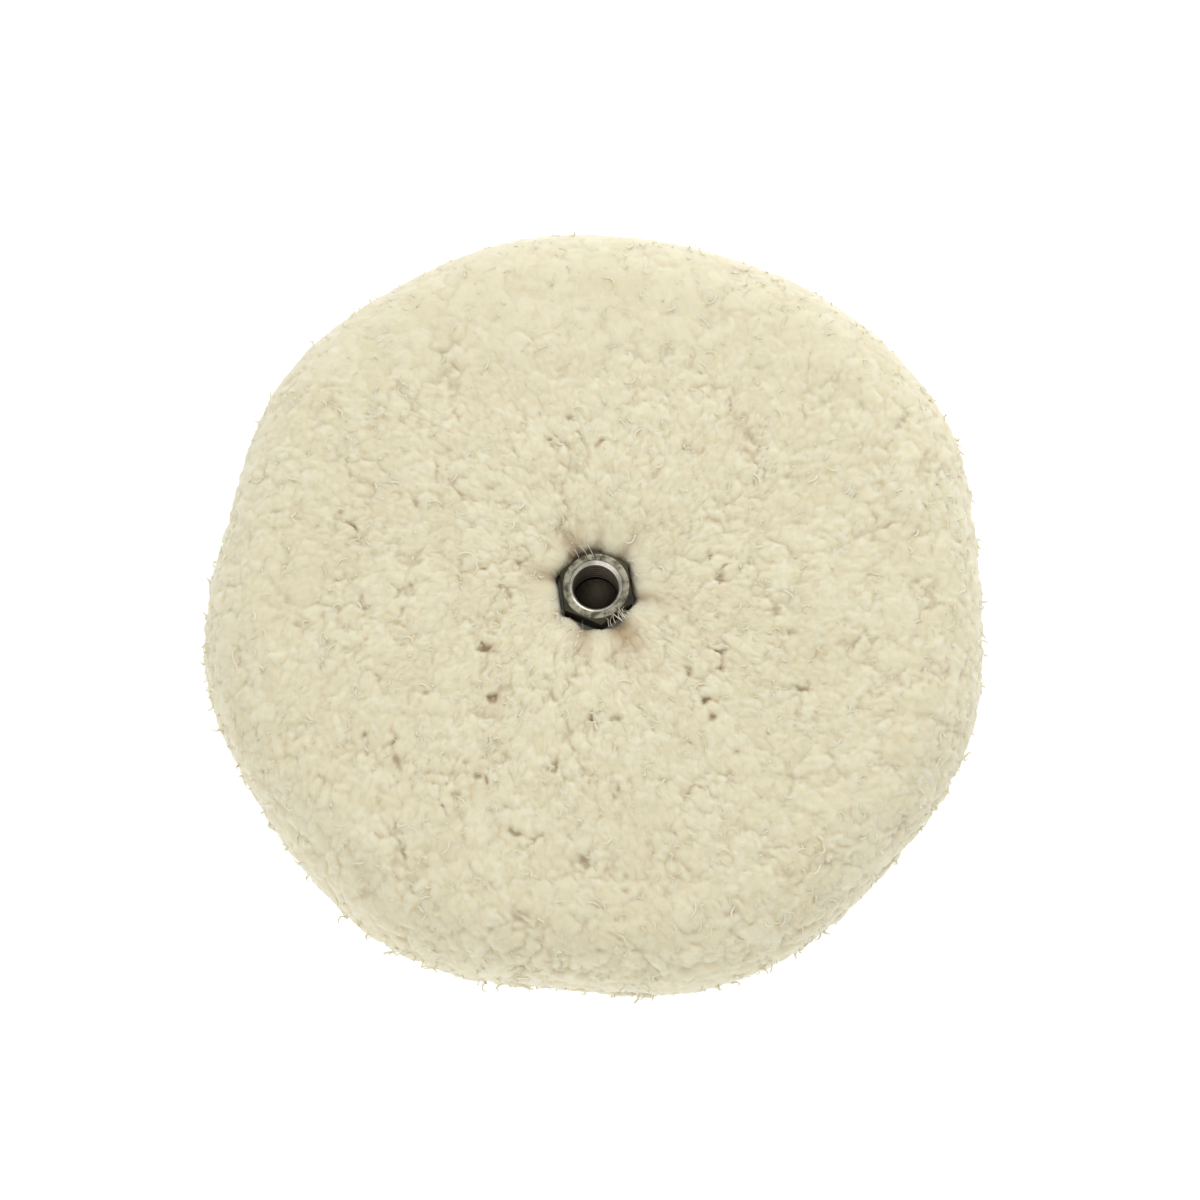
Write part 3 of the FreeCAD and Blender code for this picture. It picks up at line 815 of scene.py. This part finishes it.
def draw_line(name, points):
    """A line of edges through (radius, height) points, drawn in edit mode from a single vertex."""
    bpy.ops.object.select_all(action="DESELECT")
    bpy.ops.mesh.primitive_plane_add(size=1 * MM, location=(points[0][0], 0, points[0][1]))
    line = bpy.context.object
    line.name = name
    bpy.ops.object.transform_apply(location=True)
    bpy.ops.object.mode_set(mode="EDIT")
    bpy.ops.mesh.select_all(action="SELECT")
    bpy.ops.mesh.merge(type="CENTER")
    for (radius, height), (next_radius, next_height) in zip(points, points[1:]):
        step = (next_radius - radius, 0, next_height - height)
        bpy.ops.mesh.extrude_region_move(TRANSFORM_OT_translate={"value": step})
    bpy.ops.mesh.select_all(action="SELECT")
    return line


def close_up():
    """In edit mode: merge doubles, face outwards, and leave edit mode."""
    bpy.ops.mesh.select_all(action="SELECT")
    bpy.ops.mesh.remove_doubles(threshold=WELD)
    bpy.ops.mesh.normals_make_consistent(inside=False)
    bpy.ops.object.mode_set(mode="OBJECT")


def turned(name, points, steps=128):
    """A solid turned on the wheel's axis from (radius, height) points that start and end on it."""
    solid = draw_line(name, points)
    bpy.ops.mesh.spin(steps=steps, angle=2 * math.pi, center=(0, 0, 0), axis=(0, 0, 1))
    close_up()
    print(name, "turned with", len(solid.data.polygons), "faces")
    return solid


def combine(solid, tool, operation):
    """Cut a tool from a solid, join it on, or keep what both share. The tool is used up."""
    bpy.ops.object.select_all(action="DESELECT")
    solid.select_set(True)
    bpy.context.view_layer.objects.active = solid
    cut = solid.modifiers.new("cut", "BOOLEAN")
    cut.operation = operation
    cut.solver = "EXACT"
    cut.object = tool
    bpy.ops.object.modifier_apply(modifier="cut")
    bpy.data.objects.remove(tool)


def rounded(centre, size, start, end, count=5):
    """Points of a small rounded edge, about its arc's centre."""
    return [tuple(point) for point in arc_points(centre, size, start, end, count)]


# %% [markdown]
# ## A tool that cuts threads
#
# A thread is a short zigzag, one pitch long, wound up the axis by a Screw modifier. That leaves both
# ends of the rod open, and a Boolean needs a closed solid, so each border is drawn together to a
# point. A bump in the material would be cheaper, but the bore is open to the eye.

# %% Thread tool
def screw_rod(name, minor, major, pitch, low, turns, steps=96):
    """A threaded rod that starts at height low. minor and major are its radii."""
    rod = draw_line(name, [(minor, low), (minor, low + 0.25 * pitch), (major, low + 0.5625 * pitch),
                           (major, low + 0.6875 * pitch), (minor, low + pitch)])
    bpy.ops.object.mode_set(mode="OBJECT")
    winding = rod.modifiers.new("winding", "SCREW")
    winding.axis = "Z"
    winding.screw_offset = pitch
    winding.iterations = turns
    winding.steps = steps
    winding.render_steps = steps
    bpy.ops.object.modifier_apply(modifier="winding")
    bpy.ops.object.mode_set(mode="EDIT")
    bpy.ops.mesh.select_all(action="SELECT")
    bpy.ops.mesh.remove_doubles(threshold=WELD)
    middle = low + pitch * (turns + 1) / 2
    for top in (False, True):
        close_border(rod, middle, top)
    bpy.ops.mesh.select_mode(type="VERT")
    close_up()
    print(name, "wound with", len(rod.data.polygons), "faces")
    return rod


def close_border(rod, middle, top):
    """Draw a rod's open border together to a point: the one above the middle, or the one below."""
    bpy.ops.mesh.select_mode(type="VERT")
    bpy.ops.mesh.select_all(action="DESELECT")
    bpy.ops.mesh.select_non_manifold(use_wire=False, use_multi_face=False,
                                     use_non_contiguous=False, use_verts=False)
    bpy.ops.object.mode_set(mode="OBJECT")
    for vertex in rod.data.vertices:
        vertex.select = vertex.select and (vertex.co.z > middle) == top
    for border in rod.data.edges:
        border.select = all(rod.data.vertices[corner].select for corner in border.vertices)
    bpy.ops.object.mode_set(mode="EDIT")
    bpy.ops.mesh.select_mode(type="EDGE")
    bpy.ops.mesh.extrude_edges_move(TRANSFORM_OT_translate={"value": (0, 0, 0)})
    bpy.ops.mesh.merge(type="CENTER")


# %% [markdown]
# ## Turning the flange and the shank
#
# The lathe comes first. One profile holds the neck, the shank and the flange, whose edges get small
# arcs, because a perfectly sharp edge never catches the light.

# %% Turn the flange and the shank
SHANK_RADIUS = 11 * MM
SHANK_END = -6 * MM
NECK_RADIUS = 6.6 * MM
NECK_END = SHANK_END - 2 * MM
SMALL_EDGE = 0.25 * MM
FLANGE_EDGE = 0.5 * MM

hub = turned("hub", [
    (0, NECK_END),
    (NECK_RADIUS, NECK_END),
    (NECK_RADIUS, SHANK_END),
    (SHANK_RADIUS - FLANGE_EDGE, SHANK_END),
    (SHANK_RADIUS, SHANK_END + FLANGE_EDGE),
    (SHANK_RADIUS, washer_top),
    *rounded((hub_radius - SMALL_EDGE, washer_top + SMALL_EDGE), SMALL_EDGE, -90, 0),
    *rounded((hub_radius - FLANGE_EDGE, FLANGE_TOP - FLANGE_EDGE), FLANGE_EDGE, 0, 90, 8),
    (0, FLANGE_TOP),
])

# %% [markdown]
# ## Milling the hexagon
#
# A hexagon for a spanner is milled from round bar, and its corners are trimmed to a cone on the
# lathe, which leaves a curved edge on each flat. So a six-sided cylinder gets its edges bevelled, and
# what it shares with a turned cone is kept.

# %% Mill the hexagon
FACE_RADIUS = 9.85 * MM
FACE_EDGE = 0.45 * MM
SUNK = 0.6 * MM
TRIM_RADIUS = 13 * MM
TRIM_DROP = (TRIM_RADIUS - FACE_RADIUS) * math.tan(math.radians(30))

bpy.ops.object.select_all(action="DESELECT")
bpy.ops.mesh.primitive_cylinder_add(vertices=6, radius=HEX_FLATS / math.sqrt(3),
                                    depth=hub_face - FLANGE_TOP + SUNK,
                                    location=(0, 0, (hub_face + FLANGE_TOP - SUNK) / 2),
                                    rotation=(0, 0, math.radians(HEX_TURN)))
head = bpy.context.object
bpy.ops.object.transform_apply(location=True, rotation=True)
rounding = head.modifiers.new("rounding", "BEVEL")
rounding.width = 0.3 * MM
rounding.segments = 3
rounding.limit_method = "ANGLE"
rounding.angle_limit = math.radians(50)
bpy.ops.object.modifier_apply(modifier="rounding")
combine(head, turned("corner_trim", [
    (0, FLANGE_TOP - 1 * MM),
    (TRIM_RADIUS, FLANGE_TOP - 1 * MM),
    (TRIM_RADIUS, hub_face - TRIM_DROP),
    *rounded((FACE_RADIUS - 0.12 * MM, hub_face - FACE_EDGE), FACE_EDGE, 60, 90, 6),
    (0, hub_face),
]), "INTERSECT")
combine(hub, head, "UNION")

# %% [markdown]
# ## The stem's thread
#
# The stem at the rear holds the clamp nut. A threaded rod that is too long is trimmed by a turned
# shape with a chamfer at its tip, as on a real bolt, and joined to the hub.

# %% Cut the stem's thread
STEM_RADIUS = 8 * MM
STEM_PITCH = 1.5 * MM
STEM_THREAD = 0.92 * MM
STEM_TURNS = 10
stem_end = hub_low[2]
stem = screw_rod("stem", STEM_RADIUS - STEM_THREAD, STEM_RADIUS, STEM_PITCH, stem_end - 2 * MM, STEM_TURNS)
combine(stem, turned("stem_trim", [
    (0, stem_end),
    (STEM_RADIUS - 1 * MM, stem_end),
    (STEM_RADIUS + 0.3 * MM, stem_end + 1.3 * MM),
    (STEM_RADIUS + 0.3 * MM, SHANK_END + 0.4 * MM),
    (0, SHANK_END + 0.4 * MM),
]), "INTERSECT")
combine(hub, stem, "UNION")

# %% [markdown]
# ## The bore
#
# One turned shape is both the drill, with its cone of 118 degrees, and the countersink, which rounds
# the bore's edge. The tap is a threaded rod that cuts eleven turns to the inch into the wall.

# %% Drill, countersink and tap the bore
BORE_RADIUS = 6.75 * MM
BORE_END = 3.3 * MM
SINK_RADIUS = 8.4 * MM
SINK_DEPTH = SINK_RADIUS - BORE_RADIUS
DRILL_TIP = BORE_RADIUS / math.tan(math.radians(59))
TAP_RADIUS = 7.94 * MM
TAP_PITCH = 25.4 / 11 * MM
combine(hub, turned("drill", [
    (0, BORE_END - DRILL_TIP),
    (BORE_RADIUS, BORE_END),
    *rounded((SINK_RADIUS, hub_face - SINK_DEPTH), SINK_DEPTH, 180, 92, 12),
    (SINK_RADIUS, hub_face + 1 * MM),
    (0, hub_face + 1 * MM),
]), "DIFFERENCE")
tap = screw_rod("tap", BORE_RADIUS - 0.15 * MM, TAP_RADIUS, TAP_PITCH, 4.4 * MM, turns=7)
combine(hub, tap, "DIFFERENCE")
bpy.ops.object.shade_smooth_by_angle(angle=math.radians(32))
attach(hub, "wheel")
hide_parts("spindle_hub")
print("hub", len(hub.data.polygons), "faces")


# %% [markdown]
# ## Hub finish
#
# The bar's outside is blackened and oiled. The lathe has since cut the face and the countersink bright,
# and the flange is rubbed paler. One material does all of it, because it knows the radius and height
# of each place: rings of radius give the lathe's marks, and the bore stays dark with oil.

# %% Parts of the hub, by radius and height
def radius_and_height(finish):
    """The distance from the wheel's axis and the height, as two Signals."""
    x, y, z = finish.axes()
    return (x * x + y * y) ** 0.5, z


hub_finish = Finish("hub_steel", metallic=1.0)
radius, height = radius_and_height(hub_finish)
on_face = height.between(hub_face - 0.12 * MM, hub_face - 0.04 * MM)
below_face = height.between(hub_face - 1.9 * MM, hub_face - 1.5 * MM)
in_sink = (1 - radius.between(7.7 * MM, 8.1 * MM)) * below_face
in_bore = (1 - radius.between(8.0 * MM, 8.2 * MM)) * (1 - in_sink) * height.between(-2 * MM, -1 * MM)
over_flange = height.between(FLANGE_TOP + 0.02 * MM, FLANGE_TOP + 0.1 * MM)
on_flange = (1 - over_flange) * height.between(0, 8.9 * MM)
print("hub nodes so far:", len(hub_finish.tree.nodes))

# %% Hub material
LATHE_MARKS = 0.22 * MM
grain = hub_finish.speckle(650, detail=5)
fine_grain = hub_finish.speckle(4200, detail=3)
tarnish = hub_finish.speckle(420, detail=4, roughness=0.6).between(0.38, 0.66)
worn = tarnish * 0.6 + fine_grain * 0.4
rings = (radius * (2 * math.pi / LATHE_MARKS)).sine()

black = hub_finish.blend(grain, (0.036, 0.033, 0.021, 1), (0.115, 0.107, 0.075, 1))
shell = hub_finish.blend(on_flange * (0.3 + 0.7 * grain), black, (0.74, 0.72, 0.67, 1))
turned_face = hub_finish.blend(tarnish, (0.44, 0.415, 0.31, 1), (0.11, 0.10, 0.07, 1))
bright = hub_finish.blend(worn, (0.85, 0.82, 0.71, 1), (0.42, 0.40, 0.32, 1))
oiled = hub_finish.blend(grain, (0.04, 0.034, 0.024, 1), (0.16, 0.138, 0.10, 1))
hub_colour = hub_finish.blend(on_face, shell, turned_face)
hub_colour = hub_finish.blend(in_bore, hub_colour, oiled)
hub_colour = hub_finish.blend(in_sink, hub_colour, bright)
hub_finish.set(
    base_color=hub_colour,
    roughness=0.42 + 0.16 * grain - 0.14 * in_sink - 0.06 * in_bore,
    normal=hub_finish.bump(rings * on_face * 0.5 + fine_grain * 0.6, 0.02 * MM, 0.5),
)
paint(hub, hub_finish)
print("hub nodes:", len(hub_finish.tree.nodes))


# %% [markdown]
# ## Finishes of the clamp
#
# The nut and the dished washers are zinc plated: pale, a little blue or yellow in patches, with spots
# of dull white where the plating has aged. The lock washer is spring steel, hardened and oiled to a
# dark brown. All three are one recipe with other colours, so a function makes them. The eyelet is
# brass, which tarnishes where fingers and oil don't reach.

# %% Metal recipe
def metal(name, dull, clean, aged, roughness, marks):
    """A metal with two mixed shades, aged spots, and fine marks `marks` apart around the axis."""
    finish = Finish(name, metallic=1.0)
    radius, height = radius_and_height(finish)
    cloud = finish.speckle(240, detail=5, roughness=0.6)
    spots = finish.speckle(1500, detail=3).between(0.58, 0.72)
    lines = finish.speckle(5200, detail=2, place=finish.node(
        "ShaderNodeCombineXYZ", None, {"X": radius, "Y": height, "Z": radius * 0.1}))
    mixed = finish.blend(cloud, dull, clean)
    finish.set(
        base_color=finish.blend(spots * 0.6, mixed, aged),
        roughness=roughness + 0.12 * cloud + 0.2 * spots,
        normal=finish.bump((radius * (2 * math.pi / marks)).sine() * 0.3 + lines, 0.015 * MM, 0.5),
    )
    return finish


# %% Metal materials
# Each row: the nodes, the name, the dull, clean and aged colours, the roughness and the marks in mm.
METALS = [
    (("clamp_nut",), "nut_steel",
     (0.42, 0.42, 0.40, 1), (0.66, 0.65, 0.60, 1), (0.34, 0.33, 0.29, 1), 0.30, 0.35),
    (("lock_washer",), "spring_steel",
     (0.10, 0.075, 0.06, 1), (0.20, 0.165, 0.14, 1), (0.30, 0.22, 0.15, 1), 0.36, 0.5),
    (("front_clamp_washer", "rear_clamp_washer"), "plate_steel",
     (0.44, 0.45, 0.46, 1), (0.62, 0.61, 0.57, 1), (0.36, 0.34, 0.30, 1), 0.34, 0.8),
    (("eyelet_barrel", "eyelet_ring"), "eyelet_brass",
     (0.50, 0.36, 0.15, 1), (0.78, 0.60, 0.28, 1), (0.28, 0.20, 0.10, 1), 0.28, 0.6),
]
for names, finish_name, dull, clean, aged, roughness, marks in METALS:
    made = metal(finish_name, dull, clean, aged, roughness, marks * MM)
    for name in names:
        paint(nodes[name], made)
print("metal finishes:", len(METALS))


# %% [markdown]
# ## Finishes of the cloth
#
# A woven cloth is two sets of threads that pass over and under each other. On Object coordinates a
# sine along X and one along Y draw the threads, and their product says which of the two is on top, so
# one sum gives the weave's height, for the bump, and its shading. The binding's threads run round the
# rim, so it uses the angle in place of X.

# %% Cloth recipe
def woven(name, pitch, light, dark, depth, round_rim=False):
    """A plain weave with threads a pitch apart."""
    finish = Finish(name, roughness=0.9, sheen_weight=0.1)
    x, y, z = finish.axes()
    if round_rim:
        x, y = y.math("ARCTAN2", y, x) * binding_radius, (x * x + y * y) ** 0.5 + z
    turn = math.pi / pitch
    warp, weft = (x * turn).sine(), (y * turn).sine()
    cross = (warp * weft).between(-0.4, 0.4)
    relief = cross * (warp * warp) + (1 - cross) * (weft * weft)
    fluff = finish.speckle(3000, detail=4)
    finish.set(
        base_color=finish.blend(relief * 0.7 + fluff * 0.3, dark, light),
        roughness=0.82 + 0.15 * fluff,
        normal=finish.bump(relief + fluff * 0.35, depth, 0.7),
    )
    return finish


# %% Woven materials
CLOTHS = {
    ("front_backing", "rear_backing"):
        ("canvas", 0.9 * MM, (0.72, 0.66, 0.52, 1), (0.38, 0.33, 0.24, 1), 0.12 * MM, False),
    ("front_ground_cloth", "rear_ground_cloth"):
        ("ground_cloth", 0.5 * MM, (0.80, 0.75, 0.62, 1), (0.48, 0.43, 0.33, 1), 0.06 * MM, False),
    ("rim_binding",):
        ("binding_tape", 0.7 * MM, (0.74, 0.70, 0.58, 1), (0.42, 0.38, 0.29, 1), 0.08 * MM, True),
}
for names, recipe in CLOTHS.items():
    cloth = woven(*recipe)
    for name in names:
        paint(nodes[name], cloth)
print("woven finishes:", len(CLOTHS))

# %% [markdown]
# ## Finishes of the thread, felt and fibre board
#
# Sewing thread is twisted, so slanting grooves run along the seams, by angle, radius and height at
# once, with painted shade darkening the colour in each groove. Felt has no threads, only matted
# fibres: noise stretched by its own warp. Vulcanised fibre is a hard, red-brown, slightly glossy
# board with pale flecks and darker patches from the press.

# %% Thread material
SEAM_RADIUS = 90 * MM
TWIST_LENGTH = 0.55 * MM
thread = Finish("thread", roughness=0.7, sheen_weight=0.1)
x, y, height = thread.axes()
radius = (x * x + y * y) ** 0.5
around = y.math("ARCTAN2", y, x) * SEAM_RADIUS
# twist drives both the bump and the colour: the colour is painted shade, darker in each groove.
twist = ((around + radius + height * 1.4) * (2 * math.pi / TWIST_LENGTH)).sine()
thread.set(
    base_color=thread.blend(twist.between(-1, 0.6), (0.50, 0.45, 0.34, 1), (0.86, 0.82, 0.70, 1)),
    roughness=0.62 + 0.15 * thread.speckle(2500),
    normal=thread.bump(twist, 0.06 * MM, 0.8),
)
print("thread nodes:", len(thread.tree.nodes))

# %% Felt and fibre board materials
felt = Finish("felt", roughness=0.95, sheen_weight=0.2)
matting = felt.speckle(1400, detail=6, roughness=0.7, warp=3.0)
patches = felt.speckle(60, detail=3)
felt.set(
    base_color=felt.blend(matting * 0.6 + patches * 0.4, (0.42, 0.38, 0.31, 1), (0.82, 0.77, 0.65, 1)),
    roughness=0.85 + 0.12 * matting,
    normal=felt.bump(matting, 0.2 * MM, 0.6),
)

fibre_board = Finish("fibre_board", roughness=0.5)
flecks = fibre_board.speckle(1100, detail=5, roughness=0.65, warp=1.2)
press = fibre_board.speckle(90, detail=2)
board = fibre_board.blend(flecks.between(0.3, 0.7), (0.16, 0.045, 0.025, 1), (0.34, 0.11, 0.055, 1))
fibre_board.set(
    base_color=fibre_board.blend(press.between(0.5, 0.8) * 0.5, board, (0.22, 0.10, 0.07, 1)),
    roughness=0.42 + 0.25 * flecks,
    normal=fibre_board.bump(flecks, 0.04 * MM, 0.5),
)
for finish, names in (
    (thread, ("rim_stitching", "inner_seam", "middle_seam", "outer_seam")),
    (felt, ("felt_core",)),
    (fibre_board, ("front_fibre_plate", "rear_fibre_plate")),
):
    for name in names:
        paint(nodes[name], finish)
print("finished nodes:", sum(1 for node in nodes.values() if node.data.materials))

# %% [markdown]
# ## Floor and room light
#
# The wheel lies on a plain white floor that glows a little, so it stays clean white, as on a lit
# sweep. The room's light comes from everywhere. The camera sees the room as pure white, but as a
# light it is only about half as strong, or the wool would lose its shadows.

# %% Floor
floor_height = min(vertex.co.z for vertex in rear_wool.data.vertices)
bpy.ops.mesh.primitive_plane_add(size=6, location=(0, 0, floor_height))
floor = bpy.context.object
floor.name = "floor"
paint(floor, Finish("floor_white", roughness=0.8, base_color=(0.9, 0.9, 0.9, 1),
                    emission_color=(1, 1, 1, 1), emission_strength=0.5))
print(f"floor at {floor_height / MM:.1f} mm")

# %% Room light
ROOM_LIGHT = 0.545
scene = bpy.context.scene
scene.view_settings.view_transform = "Standard"
world = bpy.data.worlds.new("studio")
scene.world = world
world.use_nodes = True
background = world.node_tree.nodes["Background"]
background.inputs["Color"].default_value = (1, 1, 1, 1)
seen = world.node_tree.nodes.new("ShaderNodeLightPath")
level = world.node_tree.nodes.new("ShaderNodeMapRange")
level.inputs["To Min"].default_value = ROOM_LIGHT
level.inputs["To Max"].default_value = 1.0
world.node_tree.links.new(seen.outputs["Is Camera Ray"], level.inputs["Value"])
world.node_tree.links.new(level.outputs["Result"], background.inputs["Strength"])
print("room light", ROOM_LIGHT)


# %% [markdown]
# ## Lamps and camera
#
# One lamp high behind the wheel and a weaker, larger one in front give the wool its gentle modelling.
# The camera looks almost straight down, tipped a little towards the front edge, with a long lens.

# %% Lamps
def soft_light(name, place, size, power):
    """A round lamp that shines at the middle of the wheel."""
    bpy.ops.object.light_add(type="AREA", location=place)
    lamp = bpy.context.object
    lamp.name = name
    lamp.data.shape = "DISK"
    lamp.data.size = size
    lamp.data.energy = power
    lamp.rotation_euler = (-Vector(place)).to_track_quat("-Z", "Y").to_euler()
    print(f"lamp {name}: {power} W")


soft_light("key", (0.35, 0.9, 0.88), size=0.6, power=6.5)
soft_light("fill", (-0.5, -0.8, 1.1), size=1.8, power=5)

# %% Camera
ELEVATION = math.radians(75.7)
DISTANCE = 0.772
LOOK_AT = Vector((1.2 * MM, 0.9 * MM, 0.0))
towards = Vector((0, -math.cos(ELEVATION), math.sin(ELEVATION)))
bpy.ops.object.camera_add(location=LOOK_AT + towards * DISTANCE)
camera = bpy.context.object
camera.name = "camera"
camera.rotation_euler = (-towards).to_track_quat("-Z", "Y").to_euler()
camera.data.lens = 75
camera.data.sensor_width = 36
camera.data.clip_start = 0.01
scene.camera = camera
print(f"camera {DISTANCE} m away")
